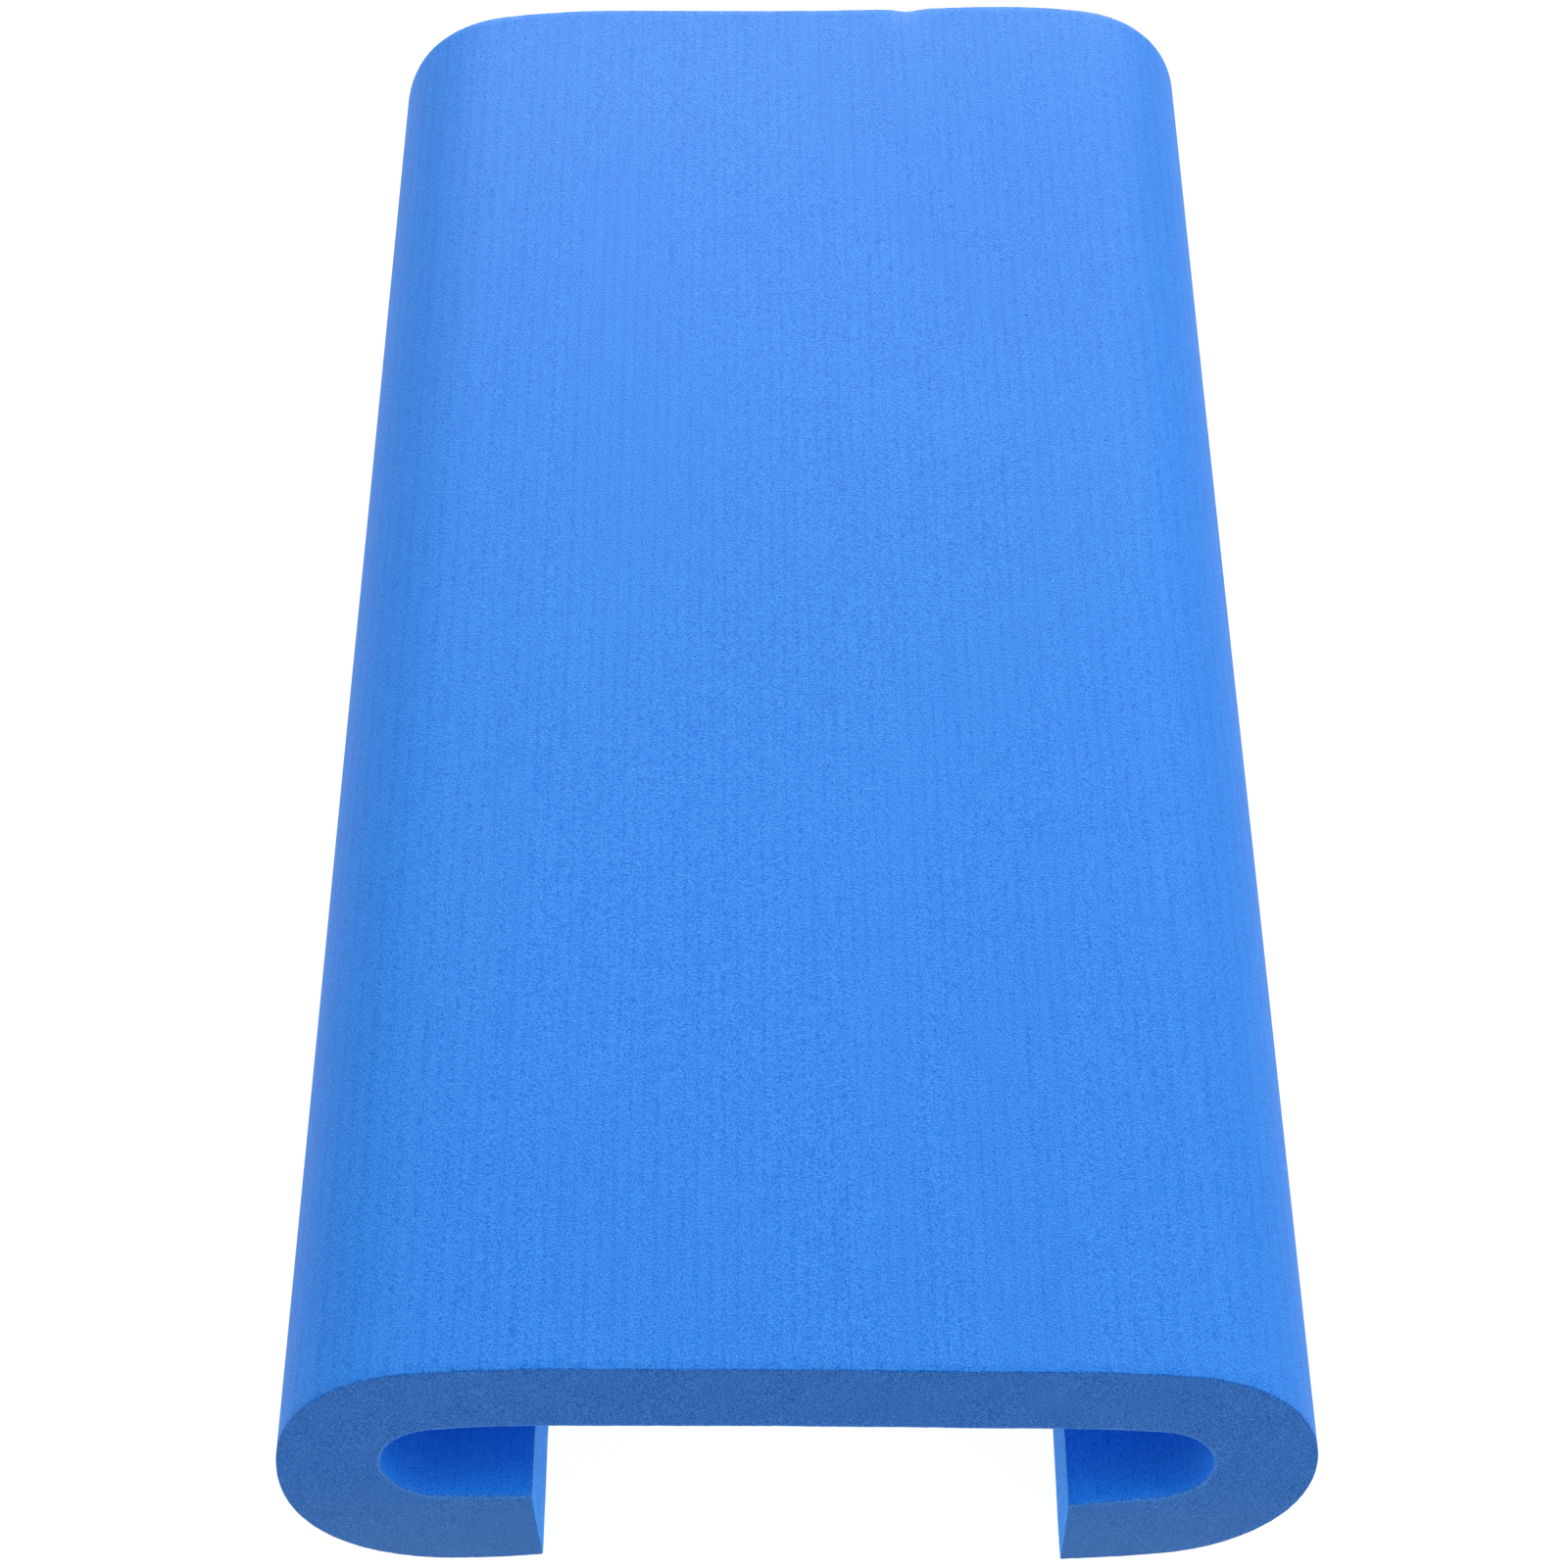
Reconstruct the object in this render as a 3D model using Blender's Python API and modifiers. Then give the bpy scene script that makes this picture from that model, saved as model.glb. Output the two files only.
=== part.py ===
"""Kickboard float: a closed-cell foam sheet curled into a flattened C channel, skinned on both faces.

Frame, in metres: +Z up from the floor that the float rests on, +Y along the float, +X across it.
The origin is the centre of the bounding box's base. The float lies deck up, on its in-turned lips.
"""

import math
from collections import namedtuple

import bpy

# The whole float
LENGTH = 0.515
WIDTH = 0.250
HEIGHT = 0.084

# The sheet the float is curled from, its skins among its thickness
DECK_THICKNESS = 0.0241
SKIN = 0.0012
BOND_LINE = 0.0003

# The sheet's inner face is flat under the deck, falls away by a long entry arc, turns the curl, and
# leaves it by an exit arc for the straight lip. Turns are in degrees from the deck's own heading.
ENTRY_RADIUS = 0.200
ENTRY_TURN = 8.0
EXIT_TURN = 140.0

# The two sides sprang back by different amounts, so each has its own curl:
# way        -1 on the left, 1 on the right
# curl       radius of the curl's inner face
# turn       where the lip starts: 180 is level again, and less still falls towards the floor
# lip        straight length of the lip's inner face
# cut        lean of the lip's cut end from square, in degrees; positive leaves the underside longer
# thickness  of the sheet at turns of 45, 90 and 135 degrees, where the lip starts, and at its tip
LEFT = {
    "way": -1,
    "curl": 0.0148,
    "turn": 180.0,
    "lip": 0.0219,
    "cut": 3.5,
    "thickness": (0.0249, 0.0250, 0.0291, 0.0288, 0.0268),
}
RIGHT = {
    "way": 1,
    "curl": 0.0146,
    "turn": 171.0,
    "lip": 0.0201,
    "cut": 10.1,
    "thickness": (0.0253, 0.0248, 0.0255, 0.0258, 0.0248),
}

DECK_SEGMENTS = 4
ENTRY_SEGMENTS = 5
CURL_SEGMENTS = 24
EXIT_SEGMENTS = 8
LIP_SEGMENTS = 5

QUARTER = math.pi / 2
DECK_UNDERSIDE = HEIGHT - DECK_THICKNESS

OUTER_COLOUR = (0.014, 0.162, 0.587)
INNER_COLOUR = (0.016, 0.219, 0.730)
CORE_COLOUR = (0.023, 0.139, 0.476)

# A place on the inner face, with x outwards from the deck's centre. heading is how far the face has
# turned down from level, and lean how far the cut through the sheet there leans from square.
Station = namedtuple("Station", "x z heading thickness lean", defaults=(0.0,))


def smooth_through(knots, values, at):
    """A smooth curve through the values at the knots, level at both ends, read at one place."""
    slopes = [0.0] * len(knots)
    for knot in range(1, len(knots) - 1):
        slopes[knot] = (values[knot + 1] - values[knot - 1]) / (knots[knot + 1] - knots[knot - 1])
    left = 0
    while left < len(knots) - 2 and at > knots[left + 1]:
        left += 1
    width = knots[left + 1] - knots[left]
    share = min((at - knots[left]) / width, 1.0)
    rest = 1.0 - share
    return (
        rest**2 * (1 + 2 * share) * values[left]
        + share**2 * (1 + 2 * rest) * values[left + 1]
        + share * rest * width * (rest * slopes[left] - share * slopes[left + 1])
    )


def thickness_at(side, heading):
    """The sheet's thickness where its inner face has turned down by heading, up to the lip."""
    knots = (0.0, QUARTER / 2, QUARTER, QUARTER * 1.5, math.radians(side["turn"]))
    return smooth_through(knots, (DECK_THICKNESS, *side["thickness"][:-1]), heading)


def exit_radius(side, curl_end):
    """The exit arc's radius that brings this side's lowest point to the floor."""
    turn = math.radians(side["turn"])
    if turn >= math.pi:
        return (curl_end.z - thickness_at(side, math.pi)) / (math.cos(curl_end.heading) + 1)
    tip = side["thickness"][-1]
    underside = side["lip"] + tip * math.tan(math.radians(side["cut"]))
    fall = curl_end.z - underside * math.sin(turn) + tip * math.cos(turn)
    return fall / (math.cos(curl_end.heading) - math.cos(turn))


def arc(side, start, radius, end_turn, segments):
    """Stations along a downward turn from a station to an end turn, leaving out the start."""
    stations = []
    for step in range(1, segments + 1):
        heading = start.heading + (math.radians(end_turn) - start.heading) * step / segments
        x = start.x + radius * (math.sin(heading) - math.sin(start.heading))
        z = start.z + radius * (math.cos(heading) - math.cos(start.heading))
        stations.append(Station(x, z, heading, thickness_at(side, heading)))
    return stations


def lip(side, start):
    """Stations along the straight lip from its start, thinning and leaning steadily towards its tip."""
    start_thickness, tip_thickness = side["thickness"][-2:]
    stations = []
    for step in range(1, LIP_SEGMENTS + 1):
        share = step / LIP_SEGMENTS
        x = start.x + share * side["lip"] * math.cos(start.heading)
        z = start.z - share * side["lip"] * math.sin(start.heading)
        thickness = start_thickness + (tip_thickness - start_thickness) * share**2
        lean = share * math.tan(math.radians(side["cut"]))
        stations.append(Station(x, z, start.heading, thickness, lean))
    return stations


def inner_line(side):
    """Stations from the deck's centre to the lip's tip."""
    deck_end = Station(0.0, DECK_UNDERSIDE, 0.0, DECK_THICKNESS)
    entry = arc(side, deck_end, ENTRY_RADIUS, ENTRY_TURN, ENTRY_SEGMENTS)
    curl = arc(side, entry[-1], side["curl"], EXIT_TURN, CURL_SEGMENTS)
    leave = arc(side, curl[-1], exit_radius(side, curl[-1]), side["turn"], EXIT_SEGMENTS)
    bend = [deck_end] + entry + curl + leave + lip(side, leave[-1])
    reach = max(station.x + station.thickness * math.sin(station.heading) for station in bend)
    deck_half = WIDTH / 2 - reach
    deck = [deck_end._replace(x=deck_half * step / DECK_SEGMENTS) for step in range(DECK_SEGMENTS)]
    return deck + [station._replace(x=station.x + deck_half) for station in bend]


def half_line(side, face, inset):
    """One side's points (x, z) on the outer face (1) or the inner face (-1), set in from it."""
    points = []
    for station in inner_line(side):
        offset = station.thickness - inset if face > 0 else inset
        across, up = math.sin(station.heading), math.cos(station.heading)
        x = station.x + offset * (across + station.lean * up)
        z = station.z + offset * (up - station.lean * across)
        points.append((side["way"] * x, z))
    return points


def sheet_line(face, inset=0.0):
    """Points (x, z) on a face of the sheet, from the left lip's end over the deck to the right's."""
    left = half_line(LEFT, face, inset)
    right = half_line(RIGHT, face, inset)
    return left[:0:-1] + right


def swept_curve(name, points, closed):
    """A 2D curve through points in the XZ plane, swept along Y over the float's length."""
    curve = bpy.data.curves.new(name, "CURVE")
    curve.dimensions = "2D"
    curve.fill_mode = "BOTH" if closed else "NONE"
    curve.extrude = LENGTH / 2
    spline = curve.splines.new("POLY")
    spline.points.add(len(points) - 1)
    for point, (x, z) in zip(spline.points, points):
        point.co = (x, z, 0.0, 1.0)
    spline.use_cyclic_u = closed
    obj = bpy.data.objects.new(name, curve)
    obj.rotation_euler = (QUARTER, 0.0, 0.0)
    return obj


def foam_material(name, colour, roughness):
    material = bpy.data.materials.new(name)
    material.use_nodes = True
    shader = material.node_tree.nodes["Principled BSDF"]
    shader.inputs["Base Color"].default_value = (*colour, 1.0)
    shader.inputs["Roughness"].default_value = roughness
    shader.inputs["Metallic"].default_value = 0.0
    return material


def make_foam_core():
    """The body: the sheet's section less both skins, cut square at its ends and bare there."""
    inset = SKIN + BOND_LINE
    outline = sheet_line(1, inset) + sheet_line(-1, inset)[::-1]
    core = swept_curve("foam_core", outline, closed=True)
    core.data.materials.append(foam_material("foam_core", CORE_COLOUR, 0.9))
    return core


def make_skin(name, face, solidify_offset, colour):
    """A skin: an open surface on one face of the sheet, thickened towards the core."""
    skin = swept_curve(name, sheet_line(face), closed=False)
    shell = skin.modifiers.new("Skin", "SOLIDIFY")
    shell.thickness = SKIN
    shell.offset = solidify_offset
    shell.use_even_offset = True
    skin.data.materials.append(foam_material(name, colour, 0.6))
    return skin


def main():
    for obj in list(bpy.data.objects):
        bpy.data.objects.remove(obj)
    float_parts = bpy.data.collections.new("kickboard_float")
    bpy.context.scene.collection.children.link(float_parts)
    float_parts.objects.link(make_foam_core())
    float_parts.objects.link(make_skin("outer_skin", 1, -1.0, OUTER_COLOUR))
    float_parts.objects.link(make_skin("inner_skin", -1, 1.0, INNER_COLOUR))


main()
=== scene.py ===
import math
from collections import namedtuple

import bpy
from mathutils import Matrix, Vector, noise


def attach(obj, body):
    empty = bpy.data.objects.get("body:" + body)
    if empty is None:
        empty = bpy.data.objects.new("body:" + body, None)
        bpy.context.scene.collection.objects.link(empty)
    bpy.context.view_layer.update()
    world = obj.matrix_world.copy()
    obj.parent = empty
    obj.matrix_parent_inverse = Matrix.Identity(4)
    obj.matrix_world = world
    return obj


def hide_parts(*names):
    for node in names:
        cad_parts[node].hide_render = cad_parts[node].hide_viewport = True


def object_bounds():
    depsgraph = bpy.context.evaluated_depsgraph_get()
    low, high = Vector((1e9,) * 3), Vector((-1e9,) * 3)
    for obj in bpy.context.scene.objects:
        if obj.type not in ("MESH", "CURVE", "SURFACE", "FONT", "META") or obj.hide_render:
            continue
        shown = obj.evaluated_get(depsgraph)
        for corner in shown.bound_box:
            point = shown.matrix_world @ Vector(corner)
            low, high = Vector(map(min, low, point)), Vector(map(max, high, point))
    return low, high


# The looks of the kickboard float: a closed-cell foam sheet curled into a flattened C channel.
# Metres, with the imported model's own axes: +Z up from the floor, +Y along the float, +X across it.

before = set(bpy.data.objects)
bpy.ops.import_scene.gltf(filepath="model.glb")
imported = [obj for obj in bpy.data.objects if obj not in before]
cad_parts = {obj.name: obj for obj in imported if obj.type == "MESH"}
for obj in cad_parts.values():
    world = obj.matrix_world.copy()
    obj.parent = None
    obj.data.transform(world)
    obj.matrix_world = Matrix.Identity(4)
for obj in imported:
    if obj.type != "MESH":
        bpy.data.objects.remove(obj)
cad_low, cad_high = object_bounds()

LENGTH = cad_high.y - cad_low.y
WIDTH = cad_high.x - cad_low.x
HEIGHT = cad_high.z

# The sheet and its two curls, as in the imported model: the inner face is flat under the deck, falls away
# by a long entry arc, turns the curl, and leaves it by an exit arc for the straight lip. On each side, way
# is its direction along X, curl the curl's radius, turn how far the sheet has turned at the lip, lip the
# lip's length, and cut how far the lip's end is off square. thickness is the sheet's where it has turned
# by 45, 90 and 135 degrees, at the lip's start and at its tip.
DECK_THICKNESS = 0.0241
SKIN = 0.0012
ENTRY_RADIUS = 0.200
ENTRY_TURN = math.radians(8.0)
EXIT_TURN = math.radians(140.0)
LEFT = {
    "way": -1,
    "curl": 0.0148,
    "turn": math.radians(180.0),
    "lip": 0.0219,
    "cut": math.radians(3.5),
    "thickness": (0.0249, 0.0250, 0.0291, 0.0288, 0.0268),
}
RIGHT = {
    "way": 1,
    "curl": 0.0146,
    "turn": math.radians(171.0),
    "lip": 0.0201,
    "cut": math.radians(10.1),
    "thickness": (0.0253, 0.0248, 0.0255, 0.0258, 0.0248),
}
QUARTER = math.pi / 2
DECK_UNDERSIDE = HEIGHT - DECK_THICKNESS

# The fine mesh. Its rows and columns crowd towards the sheet's edges, which are rounded over by CUT_EDGE.
COLUMN_PITCH = 0.00075
ROW_COUNT = 44
CORE_LEVELS = 20
REACH_STEPS = 400
CUT_EDGE = 0.0004
CUT_EDGE_STEPS = 3
COLUMN_CROWDING = 0.1
ROW_CROWDING = 1.45
SHARP_EDGE = math.radians(50)

# The faint ribs that run along the foam, how far across they drift for each metre along it, and where one
# crosses the deck's middle
RIB_PITCH = 0.00329
RIB_SLANT = 0.0074
RIB_PLACE = 0.00055

# How far the deck departs from flat: a dip centred at an x and fading over a spread, and at the rear a fall
# and a rise, each of which starts at an x and is whole after a run
FRONT_DIP = 0.0008
FRONT_DIP_X = 0.055
FRONT_DIP_SPREAD = 0.035
LEFT_FALL = 0.0006
LEFT_FALL_X = -0.045
LEFT_FALL_RUN = 0.05
RIGHT_RISE = 0.0028
RIGHT_RISE_X = -0.015
RIGHT_RISE_RUN = 0.12

# The nick in the deck's rear edge: how deep it is, where, its spread, and how far along the deck it fades
REAR_NICK = 0.0011
REAR_NICK_X = 0.037
REAR_NICK_SPREAD = 0.0045
REAR_NICK_FADE = 0.005

# Unevenness from noise: how far it strays from the true shape, its pitch three ways, which is 1 where it
# doesn't vary, and the noise's seed
Relief = namedtuple("Relief", "size pitches seed")
DECK_WAVE = Relief(0.0003, (0.09, 0.16, 1.0), 1)
SIDE_BOW = Relief(0.0004, (1.0, 0.22, 0.12), 2)
STREAKS = Relief(0.000020, (0.0032, 0.11, 1.0), 3)
BANDS = Relief(0.000060, (0.012, 0.24, 1.0), 4)
BLADE_DRIFT = Relief(0.00012, (0.014, 0.014, 0.014), 5)
TORN_CELLS = Relief(0.00006, (0.0011, 0.0011, 0.0011), 6)
EDGE_RAGGEDNESS = Relief(0.00012, (0.0016, 0.0016, 1.0), 7)
SEED_STEP = (17.3, -5.9, 3.1)

# A place in the sheet's thickness. way runs from -1 on the inner face to 1 on the outer one, inset is how
# far those faces are set in, and worn says that the face's cut edges are rounded over.
Level = namedtuple("Level", "way inset worn", defaults=(False,))

# A vertex line of the sheet laid flat. place runs from -1 to 1 between the rounded edges, and rim from 0
# to -1 or 1 over them.
Line = namedtuple("Line", "place rim")


# The section


def smooth_through(knots, values, at):
    """A smooth curve through the values at the knots, level at both ends, read at one place."""
    slopes = [0.0] * len(knots)
    for knot in range(1, len(knots) - 1):
        slopes[knot] = (values[knot + 1] - values[knot - 1]) / (knots[knot + 1] - knots[knot - 1])
    left = 0
    while left < len(knots) - 2 and at > knots[left + 1]:
        left += 1
    width = knots[left + 1] - knots[left]
    share = min((at - knots[left]) / width, 1.0)
    rest = 1.0 - share
    return (
        rest**2 * (1 + 2 * share) * values[left]
        + share**2 * (1 + 2 * rest) * values[left + 1]
        + share * rest * width * (rest * slopes[left] - share * slopes[left + 1])
    )


def bend_thickness(side, heading):
    """The sheet's thickness where its inner face has turned down by heading, up to the lip."""
    knots = (0.0, QUARTER / 2, QUARTER, QUARTER * 1.5, side["turn"])
    return smooth_through(knots, (DECK_THICKNESS, *side["thickness"][:-1]), heading)


def thickness_at(side, along, heading, lean):
    """The sheet's thickness at a distance from the deck's centre, where the lip's end leans by a length."""
    lip_start = side["length"] - side["lip"]
    if along <= lip_start:
        return bend_thickness(side, heading)
    share = min((along - lip_start) / (side["lip"] + lean), 1.0)
    start, tip = side["thickness"][-2:]
    return start + (tip - start) * share**2


def exit_radius(side, height):
    """The exit arc's radius, from a height, that brings this side's lowest point to the floor."""
    turn = side["turn"]
    if turn >= math.pi:
        return (height - bend_thickness(side, math.pi)) / (math.cos(EXIT_TURN) + 1)
    tip = side["thickness"][-1]
    underside = side["lip"] + tip * math.tan(side["cut"])
    lip_drop = underside * math.sin(turn) - tip * math.cos(turn)
    return (height - lip_drop) / (math.cos(EXIT_TURN) - math.cos(turn))


def lay_out(side, deck):
    """Divide a side into stretches of its inner face from the deck's centre, the deck being so long.

    Each is (span, radius, turn): the length of sheet that it takes, at half the sheet's thickness, and its
    arc, or no radius where it is straight.
    """
    curl = side["curl"]
    height = DECK_UNDERSIDE - ENTRY_RADIUS * (1 - math.cos(ENTRY_TURN))
    height -= curl * (math.cos(ENTRY_TURN) - math.cos(EXIT_TURN))
    arcs = (
        (ENTRY_RADIUS, ENTRY_TURN),
        (curl, EXIT_TURN - ENTRY_TURN),
        (exit_radius(side, height), side["turn"] - EXIT_TURN),
    )
    bends = [((radius + DECK_THICKNESS / 2) * turn, radius, turn) for radius, turn in arcs]
    side["stretches"] = [(deck, None, 0.0), *bends, (side["lip"], None, 0.0)]
    side["length"] = sum(span for span, radius, turn in side["stretches"])


def station(side, along):
    """The inner face's x, z and heading at a distance from the deck's centre, with x outwards."""
    x, z, heading = 0.0, DECK_UNDERSIDE, 0.0
    for span, radius, turn in side["stretches"]:
        step = min(along, span)
        if radius:
            turned = heading + turn * step / span
            x += radius * (math.sin(turned) - math.sin(heading))
            z += radius * (math.cos(turned) - math.cos(heading))
            heading = turned
        else:
            x += step * math.cos(heading)
            z -= step * math.sin(heading)
        along -= step
    return x + along * math.cos(heading), z - along * math.sin(heading), heading


def reach(side):
    """How far out the side's outer face comes."""
    widest = 0.0
    for step in range(REACH_STEPS):
        x, _, heading = station(side, side["length"] * step / REACH_STEPS)
        widest = max(widest, x + bend_thickness(side, heading) * math.sin(heading))
    return widest


for curl in (LEFT, RIGHT):
    lay_out(curl, 0.0)
    lay_out(curl, WIDTH / 2 - reach(curl))


# The foam's unevenness


def uneven(relief, place):
    """How far a relief strays at a place, by smooth noise that is the same at every run."""
    at = [
        where / pitch + relief.seed * step
        for where, pitch, step in zip(place, relief.pitches, SEED_STEP)
    ]
    return relief.size * noise.noise(Vector(at))


def eased(value):
    """0 below 0, 1 above 1, and a smooth climb between them."""
    value = min(1.0, max(0.0, value))
    return value * value * (3 - 2 * value)


def settle(point):
    """Move a point of the true shape by the slow unevenness of foam that isn't quite straight or flat.

    The deck moves up and down, and the lowest quarter of the height doesn't. The outer quarters of the
    width bow. The front's dip fades in from the middle, and the rear's fall and rise grow towards its edge.
    """
    x, y, z = point
    upward = eased(z / HEIGHT * 2 - 0.5)
    outer = eased(abs(x) / WIDTH * 4 - 1)
    rear = eased(y / LENGTH * 2)
    front = eased(-y / LENGTH * 2 + 0.3)
    front_dip = FRONT_DIP * front * math.exp(-(((x - FRONT_DIP_X) / FRONT_DIP_SPREAD) ** 2))
    left_fall = LEFT_FALL * rear**3 * eased((LEFT_FALL_X - x) / LEFT_FALL_RUN)
    right_rise = RIGHT_RISE * rear**3 * eased((x - RIGHT_RISE_X) / RIGHT_RISE_RUN)
    from_nick = ((x - REAR_NICK_X) / REAR_NICK_SPREAD) ** 2 + (LENGTH / 2 - y) / REAR_NICK_FADE
    rear_nick = REAR_NICK * math.exp(-from_nick) * eased((z - DECK_UNDERSIDE) / DECK_THICKNESS)
    wave = uneven(DECK_WAVE, (x, y, 0.0))
    bow = uneven(SIDE_BOW, (0.0, y, z)) * outer
    return Vector((x + bow, y, z + upward * (wave + right_rise - left_fall - front_dip - rear_nick)))


def skin_relief(across, along):
    """How far a skin's face stands proud, from the streaks and bands that run along the foam."""
    place = (across, along, 0.0)
    return uneven(STREAKS, place) + uneven(BANDS, place)


def cut_relief(point):
    """How far a cut face stands proud, from the blade's drift and the torn cells."""
    return uneven(BLADE_DRIFT, point) + uneven(TORN_CELLS, point)


# The meshes


def lines(count, crowding):
    """The vertex lines one way over the sheet, closer together towards its edges by a crowding angle."""
    rims = [math.sin(QUARTER * step / CUT_EDGE_STEPS) for step in range(1, CUT_EDGE_STEPS + 1)]
    middle = [math.sin(crowding * (2 * step / count - 1)) / math.sin(crowding) for step in range(count + 1)]
    return (
        [Line(-1.0, -rim) for rim in reversed(rims)]
        + [Line(place, 0.0) for place in middle]
        + [Line(1.0, rim) for rim in rims]
    )


COLUMN_COUNT = round((LEFT["length"] + RIGHT["length"]) / COLUMN_PITCH)
COLUMNS = lines(COLUMN_COUNT, COLUMN_CROWDING)
ROWS = lines(ROW_COUNT, ROW_CROWDING)


def side_of(column):
    """The side of the float that a column is on."""
    return LEFT if column.place < 0 else RIGHT


def portion_of(level, thickness):
    """How far a level is from the inner face, where the sheet has a thickness."""
    return level.inset + (1 + level.way) / 2 * (thickness - 2 * level.inset)


def lean_of(side, level):
    """How much further than the lip's inner corner its cut end reaches at a level."""
    return portion_of(level, side["thickness"][-1]) * math.tan(side["cut"])


def rib_at(column, row, level):
    """How many ribs a crossing of the sheet is from the one at the deck's middle."""
    side = side_of(column)
    across = column.place * (side["length"] + lean_of(side, level))
    return (across + row.place * LENGTH / 2 * RIB_SLANT - RIB_PLACE) / RIB_PITCH


def sheet_vertex(column, row, level):
    """The point of the sheet where a column and a row cross, at a level of its thickness."""
    tip = column.rim * math.sqrt(1 - row.rim**2 / 2)
    end = row.rim * math.sqrt(1 - column.rim**2 / 2)
    rim = min(1.0, math.hypot(tip, end))
    side = side_of(column)
    lean = lean_of(side, level)
    across = abs(column.place) * (side["length"] + lean - CUT_EDGE) + CUT_EDGE * abs(tip)
    along = row.place * (LENGTH / 2 - CUT_EDGE) + CUT_EDGE * end
    x, z, heading = station(side, across)
    offset = portion_of(level, thickness_at(side, across, heading, lean))
    if level.worn:
        ragged = uneven(EDGE_RAGGEDNESS, (across, along, 0.0))
        offset -= level.way * (CUT_EDGE * (1 - math.sqrt(1 - rim**2)) + ragged * rim)
        offset += level.way * skin_relief(side["way"] * across, along)
    outward = Vector((side["way"] * math.sin(heading), 0.0, math.cos(heading)))
    tipward = Vector((side["way"] * math.cos(heading), 0.0, -math.sin(heading)))
    point = Vector((side["way"] * x, along, z)) + outward * offset
    if rim > 0.0:
        cutward = tipward * abs(tip) + Vector((0.0, end, 0.0))
        point += cutward * rim * cut_relief(point)
    return settle(point)


def border():
    """The outermost crossings of the columns and rows, in order round the sheet laid flat."""
    last_column, last_row = len(COLUMNS) - 1, len(ROWS) - 1
    front = [(column, 0) for column in range(last_column)]
    right = [(last_column, row) for row in range(last_row)]
    rear = [(column, last_row) for column in range(last_column, 0, -1)]
    left = [(0, row) for row in range(last_row, 0, -1)]
    return front + right + rear + left


def make_piece(name, levels, materials, worn_number, ring_numbers, tip_number):
    """A closed piece of the sheet: a grid at the first level and the last, and the cut band between them.

    The levels run inwards from the outer face. The grids' faces have the first material, their rounded
    edges the one that worn_number counts to, and each ring of the band its own of ring_numbers, or
    tip_number where the band is a lip's end.
    """
    width = len(COLUMNS)
    under = width * len(ROWS)
    grids = (levels[0], levels[-1])
    spots = [(column, row, level) for level in grids for row in ROWS for column in COLUMNS]
    faces, numbers = [], []
    for row in range(len(ROWS) - 1):
        for column in range(width - 1):
            corner = row * width + column
            quad = (corner, corner + 1, corner + width + 1, corner + width)
            faces += [quad, tuple(under + index for index in reversed(quad))]
            at_edge = COLUMNS[column].rim or COLUMNS[column + 1].rim or ROWS[row].rim or ROWS[row + 1].rim
            numbers += [worn_number if at_edge and levels[0].worn else 0]
            numbers += [worn_number if at_edge and levels[-1].worn else 0]
    crossings = border()
    rings = [[row * width + column for column, row in crossings]]
    for level in levels[1:-1]:
        rings.append(range(len(spots), len(spots) + len(crossings)))
        spots += [(COLUMNS[column], ROWS[row], level) for column, row in crossings]
    rings.append([under + index for index in rings[0]])
    for ring_number, upper, lower in zip(ring_numbers, rings, rings[1:]):
        for at, (column, _) in enumerate(crossings):
            after = (at + 1) % len(crossings)
            faces.append((upper[after], upper[at], lower[at], lower[after]))
            is_tip = column == crossings[after][0] and column in (0, width - 1)
            numbers.append(tip_number if is_tip else ring_number)
    mesh = bpy.data.meshes.new(name)
    mesh.from_pydata([sheet_vertex(*spot) for spot in spots], [], faces)
    counts = mesh.attributes.new("rib", "FLOAT", "POINT")
    counts.data.foreach_set("value", [rib_at(*spot) for spot in spots])
    for material in materials:
        mesh.materials.append(material)
    mesh.polygons.foreach_set("material_index", numbers)
    mesh.shade_smooth()
    mesh.set_sharp_from_angle(angle=SHARP_EDGE)
    mesh.validate()
    piece = bpy.data.objects.new(name, mesh)
    bpy.context.scene.collection.objects.link(piece)
    return piece


# The materials. Colours are linear, and a bump's depth and the pitches of grain are in metres.


# Layers of grain: the pitch across the foam, the pitch along it where that is longer, and the contrast
Grain = namedtuple("Grain", "pitch along contrast")
CELLS = Grain(0.00045, None, 3.1)
FINE_STREAKS = Grain(0.0019, 0.012, 0.30)
BROAD_STREAKS = Grain(0.0042, 0.09, 0.20)
SKIN_DRIFT = Grain(0.06, None, 0.12)
CUT_DRIFT = Grain(0.010, None, 0.25)
MOTTLING = Grain(0.0016, None, 1.1)
TIP_CELLS = Grain(0.0006, None, 1.8)
DASHES = Grain(0.0014, None, 3.0)
SKIN_BUMPS = (Grain(0.0006, None, 0.8), Grain(0.0024, 0.03, 0.2))
TIP_BUMPS = (Grain(0.0014, None, 0.8), Grain(0.0006, None, 0.4))
CUT_BUMP_PITCH = 0.0006
CUT_BUMP_DETAIL = 1.5

# A rib's weight in the skin's tone and in its height, and the power that narrows it
RIB_DARKNESS = -0.28
RIB_DEPTH = -0.15
RIB_NARROWING = 4.0

# The value that a surface's tone or height varies about
SKIN_MIDDLE = 0.46
MIDDLE = 0.5

# How a surface takes the light: its bump's depth, its roughness and its sheen
Finish = namedtuple("Finish", "depth roughness sheen")
SKIN_FINISH = Finish(0.00020, 0.60, 0.0)
CUT_FINISH = Finish(0.00012, 0.90, 0.05)
TIP_FINISH = Finish(0.00030, 0.90, 0.05)
SPECULAR_LEVEL = 0.18
SHEEN_ROUGHNESS = 0.5

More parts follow.
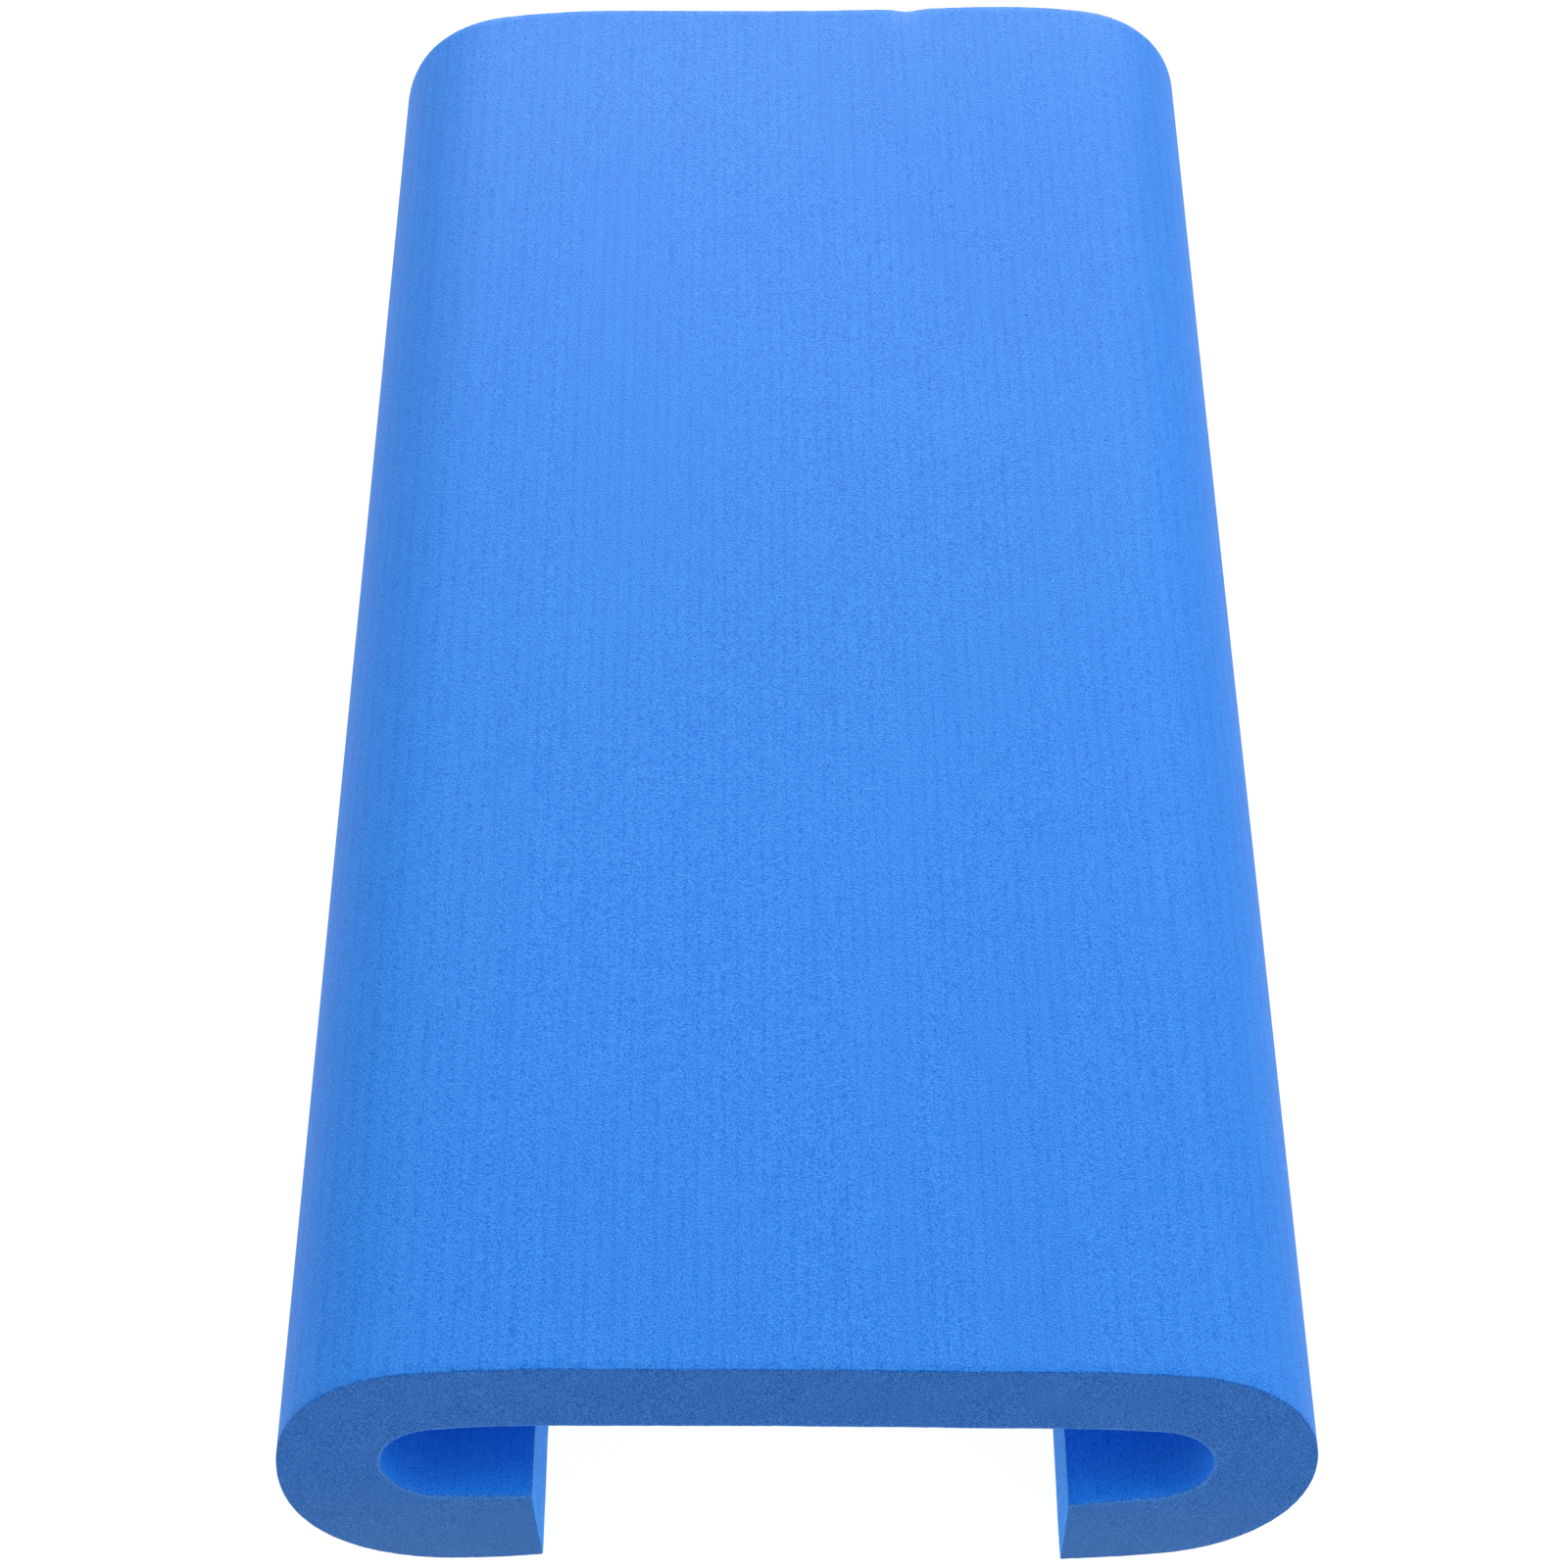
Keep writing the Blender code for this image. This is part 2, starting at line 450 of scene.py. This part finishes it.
# The darkest and lightest colour of each surface's grain. An edge is a skin's rounded cut edge.
OUTER_COLOURS = ((0.001, 0.112, 0.514), (0.026, 0.212, 0.660))
# The inner skin is the same skin as the outer one, coloured lighter: painted light that makes up for the
# shade in the slots and under the deck.
INNER_COLOURS_PAINTED_LIGHT = ((0.001, 0.156, 0.680), (0.026, 0.274, 0.820))
CUT_COLOURS = ((0.001, 0.078, 0.378), (0.044, 0.200, 0.574))
# The lips' cut ends are the same cut foam as the front and rear faces, coloured far lighter: painted light
# that stands in for the light falling on them.
TIP_COLOURS_PAINTED_LIGHT = ((0.008, 0.205, 0.730), (0.055, 0.415, 0.970))
OUTER_EDGE_COLOURS = ((0.001, 0.070, 0.360), (0.030, 0.180, 0.580))
# The inner skin's cut edge is coloured lighter than the outer skin's: a painted highlight along the slots'
# edges, where the fringe catches the light.
INNER_EDGE_COLOURS_PAINTED_HIGHLIGHT = ((0.006, 0.115, 0.450), (0.070, 0.265, 0.715))

# Scattered specks: dark pinholes in the outer skin, and pale motes on the cut foam
Speck = namedtuple("Speck", "pitch size colour")
PINHOLES = (Speck(0.0030, 0.00048, (0.002, 0.065, 0.400)), Speck(0.045, 0.0009, (0.000, 0.020, 0.160)))
MOTES = (Speck(0.0032, 0.00050, (0.080, 0.270, 0.700)), Speck(0.024, 0.0006, (0.600, 0.700, 0.850)))

# Painted light on the cut foam, which is paler towards the floor: the share of the pale colour at the
# floor, and the height where it ends
PAINTED_LIGHT_COLOUR = (0.062, 0.190, 0.460)
PAINTED_LIGHT_SHARE = 0.45
PAINTED_LIGHT_HEIGHT = 0.040


def add(tree, kind, inputs=None, **settings):
    """A shader node with its settings. An input is a value or another node's output."""
    made = tree.nodes.new("ShaderNode" + kind)
    for name, value in settings.items():
        setattr(made, name, value)
    for name, value in (inputs or {}).items():
        if isinstance(value, bpy.types.NodeSocket):
            tree.links.new(value, made.inputs[name])
        else:
            made.inputs[name].default_value = value
    return made


def pattern(tree, kind, pitch, along_pitch=None, **inputs):
    """A noise or Voronoi pattern with features of about a pitch in metres, which may be longer along Y."""
    place = add(tree, "TexCoord").outputs["Object"]
    scale = (1 / pitch, 1 / (along_pitch or pitch), 1 / pitch)
    scaled = add(tree, "VectorMath", {0: place, 1: scale}, operation="MULTIPLY").outputs[0]
    return add(tree, kind, {"Vector": scaled, "Scale": 1.0, **inputs})


def layered(tree, layer):
    """A layer of grain as a part for weigh: its noise, from 0 to 1, and its contrast."""
    noise_node = pattern(tree, "TexNoise", layer.pitch, layer.along, Detail=1.0)
    return noise_node.outputs["Fac"], layer.contrast


def weigh(tree, base, *parts):
    """base plus each part's pattern, less a middle value of a half, times the part's weight."""
    total = base - sum(weight / 2 for _, weight in parts)
    for value, weight in parts:
        total = add(tree, "Math", {0: value, 1: weight, 2: total}, operation="MULTIPLY_ADD").outputs[0]
    return total


def blended(tree, factor, first, second):
    """The colour between two, each a colour or a node's output."""
    mix = add(tree, "Mix", {0: factor, 6: first, 7: second}, data_type="RGBA", clamp_factor=True)
    return mix.outputs[2]


def dots(tree, pitch, size):
    """1 on scattered round dots about a pitch apart and of about a size across, and 0 elsewhere."""
    away = pattern(tree, "TexVoronoi", pitch).outputs["Distance"]
    return add(tree, "Math", {0: away, 1: size / pitch / 2}, operation="LESS_THAN").outputs[0]


def ribs(tree):
    """1 along the middle of each rib, 0 between them, and broken up into dashes."""
    count = add(tree, "Attribute", attribute_name="rib").outputs["Fac"]
    turn = add(tree, "Math", {0: count, 1: 2 * math.pi}, operation="MULTIPLY").outputs[0]
    wave = add(tree, "Math", {0: turn}, operation="COSINE").outputs[0]
    swell = add(tree, "Math", {0: wave, 1: 0.5, 2: 0.5}, operation="MULTIPLY_ADD").outputs[0]
    narrow = add(tree, "Math", {0: swell, 1: RIB_NARROWING}, operation="POWER").outputs[0]
    dashes = weigh(tree, MIDDLE, layered(tree, DASHES))
    return add(tree, "Math", {0: narrow, 1: dashes}, operation="MULTIPLY").outputs[0]


def add_painted_floor_light(tree, colour):
    """The colour, paler towards the floor: painted light."""
    place = add(tree, "TexCoord").outputs["Object"]
    above = add(tree, "SeparateXYZ", {0: place}).outputs["Z"]
    cover = {0: above, 1: -PAINTED_LIGHT_SHARE / PAINTED_LIGHT_HEIGHT, 2: PAINTED_LIGHT_SHARE}
    share = add(tree, "Math", cover, operation="MULTIPLY_ADD", use_clamp=True).outputs[0]
    return blended(tree, share, colour, (*PAINTED_LIGHT_COLOUR, 1.0))


def foam(name, colours, tone, height, finish, specks=(), painted_floor_light=False):
    """A foam surface. tone and height build its grain in the material's tree, from 0 to 1 each."""
    material = bpy.data.materials.new(name)
    material.use_nodes = True
    tree = material.node_tree
    shader = tree.nodes["Principled BSDF"]
    dark, light = colours
    colour = blended(tree, tone(tree), (*dark, 1.0), (*light, 1.0))
    if painted_floor_light:
        colour = add_painted_floor_light(tree, colour)
    for speck in specks:
        colour = blended(tree, dots(tree, speck.pitch, speck.size), colour, (*speck.colour, 1.0))
    tree.links.new(colour, shader.inputs["Base Color"])
    bump = add(tree, "Bump", {"Height": height(tree), "Distance": finish.depth, "Strength": 1.0})
    tree.links.new(bump.outputs["Normal"], shader.inputs["Normal"])
    shader.inputs["Roughness"].default_value = finish.roughness
    shader.inputs["Specular IOR Level"].default_value = SPECULAR_LEVEL
    shader.inputs["Sheen Weight"].default_value = finish.sheen
    shader.inputs["Sheen Roughness"].default_value = SHEEN_ROUGHNESS
    return material


def skin_tone(tree):
    """The closed cells' fine grain, the ribs and streaks that run along the foam, and a slow drift."""
    return weigh(
        tree,
        SKIN_MIDDLE,
        layered(tree, CELLS),
        (ribs(tree), RIB_DARKNESS),
        layered(tree, FINE_STREAKS),
        layered(tree, BROAD_STREAKS),
        layered(tree, SKIN_DRIFT),
    )


def skin_height(tree):
    """The closed cells, the ribs' grooves between them, and shallow streaks."""
    cells, streaks = SKIN_BUMPS
    return weigh(tree, MIDDLE, layered(tree, cells), (ribs(tree), RIB_DEPTH), layered(tree, streaks))


def cut_tone(tree):
    """The torn cells' grain, and a slow drift."""
    return weigh(tree, MIDDLE, layered(tree, CELLS), layered(tree, CUT_DRIFT))


def cut_height(tree):
    """The torn cells."""
    return pattern(tree, "TexNoise", CUT_BUMP_PITCH, Detail=CUT_BUMP_DETAIL).outputs["Fac"]


def tip_tone(tree):
    """The lips' ends, which the blade tore more: broad mottling under the grain."""
    return weigh(tree, MIDDLE, layered(tree, MOTTLING), layered(tree, TIP_CELLS), layered(tree, CUT_DRIFT))


def tip_height(tree):
    """The lips' ends' mottling and torn cells."""
    return weigh(tree, MIDDLE, *[layered(tree, layer) for layer in TIP_BUMPS])


# The pieces


def make_float():
    """The body and its two skins, each in place of its CAD solid."""
    outer = foam("outer_foam_face", OUTER_COLOURS, skin_tone, skin_height, SKIN_FINISH, specks=PINHOLES)
    inner = foam("inner_foam_face_painted_light", INNER_COLOURS_PAINTED_LIGHT, skin_tone, skin_height, SKIN_FINISH)
    cut = foam("bare_foam", CUT_COLOURS, cut_tone, cut_height, CUT_FINISH, specks=MOTES, painted_floor_light=True)
    # The lips' ends get their own lighter colours: painted light.
    lip_end_painted_light = foam("lip_end_foam_painted_light", TIP_COLOURS_PAINTED_LIGHT, tip_tone, tip_height, TIP_FINISH)
    outer_edge = foam("bare_outer_skin", OUTER_EDGE_COLOURS, cut_tone, cut_height, CUT_FINISH)
    inner_edge_painted_highlight = foam("bare_inner_skin_painted_highlight", INNER_EDGE_COLOURS_PAINTED_HIGHLIGHT, cut_tone, cut_height, CUT_FINISH)
    body = make_piece(
        "foam_body",
        [Level(1 - 2 * step / CORE_LEVELS, SKIN) for step in range(CORE_LEVELS + 1)],
        [cut, lip_end_painted_light],
        0,
        [0] * CORE_LEVELS,
        1,
    )
    top = make_piece(
        "outer_foam_skin",
        [Level(1, 0.0, worn=True), Level(1, (SKIN + CUT_EDGE) / 2), Level(1, SKIN)],
        [outer, outer_edge, cut, lip_end_painted_light],
        1,
        [2, 2],
        3,
    )
    lining = make_piece(
        "inner_foam_skin",
        [Level(-1, SKIN), Level(-1, (SKIN + CUT_EDGE) / 2), Level(-1, 0.0, worn=True)],
        [inner, inner_edge_painted_highlight, cut, lip_end_painted_light],
        1,
        [2, 1],
        3,
    )
    for piece, node, slot in (
        (body, "foam_core", "cut_foam"),
        (top, "outer_skin", "outer_skin"),
        (lining, "inner_skin", "inner_skin"),
    ):
        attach(piece, "root")
        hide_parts(node)


# The studio: a pale floor that gives light of its own, a faint white surround, and soft lights


FLOOR_REACH = 12.0
FLOOR_GREY = 0.1
FLOOR_GLOW = 0.97
FLOOR_ROUGHNESS = 0.9
SURROUND_GLOW = 0.25
WHITE = (1.0, 1.0, 1.0, 1.0)

# Where each soft light stands, its width and height, and its power in watts
SoftLight = namedtuple("SoftLight", "name place spread power")
SOFT_LIGHTS = (
    SoftLight("left", (-1.5, 0.0, 1.5), (1.6, 1.6), 21.0),
    SoftLight("right", (1.5, 0.0, 1.5), (1.6, 1.6), 30.5),
    SoftLight("rear", (0.1, 2.2, 0.7), (2.4, 1.2), 80.0),
    SoftLight("front_left", (-1.2, -1.2, 1.2), (1.6, 1.6), 5.6),
    SoftLight("front_right", (1.2, -1.2, 1.2), (1.6, 1.6), 8.4),
)


def make_floor():
    mesh = bpy.data.meshes.new("studio_floor")
    corners = [(x * FLOOR_REACH, y * FLOOR_REACH, 0) for x, y in ((-1, -1), (1, -1), (1, 1), (-1, 1))]
    mesh.from_pydata(corners, [], [(0, 1, 2, 3)])
    floor = bpy.data.objects.new("studio_floor", mesh)
    bpy.context.scene.collection.objects.link(floor)
    material = bpy.data.materials.new("studio_floor")
    material.use_nodes = True
    shader = material.node_tree.nodes["Principled BSDF"]
    shader.inputs["Base Color"].default_value = (FLOOR_GREY, FLOOR_GREY, FLOOR_GREY, 1.0)
    shader.inputs["Emission Color"].default_value = WHITE
    shader.inputs["Emission Strength"].default_value = FLOOR_GLOW
    shader.inputs["Roughness"].default_value = FLOOR_ROUGHNESS
    shader.inputs["Specular IOR Level"].default_value = 0.0
    mesh.materials.append(material)


def make_light(soft):
    """A soft light that faces the float's middle and isn't seen by the camera."""
    data = bpy.data.lights.new(soft.name, "AREA")
    data.shape = "RECTANGLE"
    data.size, data.size_y = soft.spread
    data.energy = soft.power
    light = bpy.data.objects.new(soft.name, data)
    light.location = soft.place
    light.visible_camera = False
    facing = Vector((0, 0, HEIGHT / 2)) - light.location
    light.rotation_euler = facing.to_track_quat("-Z", "Y").to_euler()
    bpy.context.scene.collection.objects.link(light)


def make_studio():
    make_floor()
    world = bpy.data.worlds.new("studio")
    world.use_nodes = True
    background = world.node_tree.nodes["Background"]
    background.inputs["Color"].default_value = WHITE
    background.inputs["Strength"].default_value = SURROUND_GLOW
    bpy.context.scene.world = world
    for soft in SOFT_LIGHTS:
        make_light(soft)
    bpy.context.scene.view_settings.view_transform = "Standard"


# The camera: it looks at a point on the deck, so far behind its front edge, from a distance
CAMERA_AIM_X = -0.0029
CAMERA_AIM_FROM_FRONT = 0.1829
CAMERA_TARGET = Vector((CAMERA_AIM_X, CAMERA_AIM_FROM_FRONT - LENGTH / 2, HEIGHT))
CAMERA_DISTANCE = 1.0358
CAMERA_ELEVATION = math.radians(48.09)
CAMERA_YAW = math.radians(0.563)
CAMERA_ROLL = math.radians(0.619)
CAMERA_LENS = 90.36


def make_camera():
    """The scene's camera, placed by its target, its distance and its angles."""
    level, climb = math.cos(CAMERA_ELEVATION), math.sin(CAMERA_ELEVATION)
    forward = Vector((math.sin(CAMERA_YAW) * level, math.cos(CAMERA_YAW) * level, -climb))
    right = Vector((math.cos(CAMERA_YAW), -math.sin(CAMERA_YAW), 0.0))
    facing = Matrix((right, right.cross(forward), -forward)).transposed()
    camera = bpy.data.objects.new("camera", bpy.data.cameras.new("camera"))
    camera.data.lens = CAMERA_LENS
    camera.matrix_world = (
        Matrix.Translation(CAMERA_TARGET - forward * CAMERA_DISTANCE)
        @ facing.to_4x4()
        @ Matrix.Rotation(CAMERA_ROLL, 4, "Z")
    )
    bpy.context.scene.collection.objects.link(camera)
    bpy.context.scene.camera = camera


make_camera()
make_float()
make_studio()
